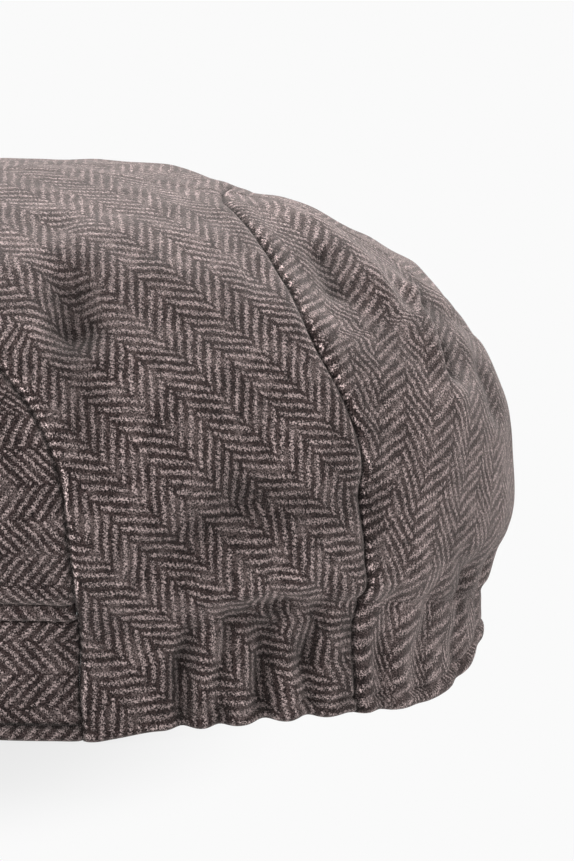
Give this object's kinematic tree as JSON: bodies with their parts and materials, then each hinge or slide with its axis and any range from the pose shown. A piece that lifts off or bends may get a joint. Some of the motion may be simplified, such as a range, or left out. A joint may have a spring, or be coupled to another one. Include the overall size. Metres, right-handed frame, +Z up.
{
  "type": "panelled tweed flat cap with a peak and an elastic back",
  "caption": "Soft tweed flat cap: full panelled crown, band round the front, stiff peak and a gathered elastic back, hollow for the head and standing on its hem.",
  "frame": {"origin": "on the surface that the cap stands on, under the middle of the whole cap, peak included", "axes": "+Z up, +Y towards the back of the head, +X towards the wearer's left, the peak towards -Y"},
  "size_m": [0.1742, 0.2564, 0.1193],
  "materials": {
    "tweed": "brushed wool tweed, charcoal brown and pale grey herringbone"
  },
  "bodies": {
    "root": {"front_panel": "tweed", "side_panel_left": "tweed", "side_panel_right": "tweed", "back_panel_left": "tweed", "back_panel_right": "tweed", "front_band": "tweed", "peak": "tweed"}
  },
  "joints": []
}
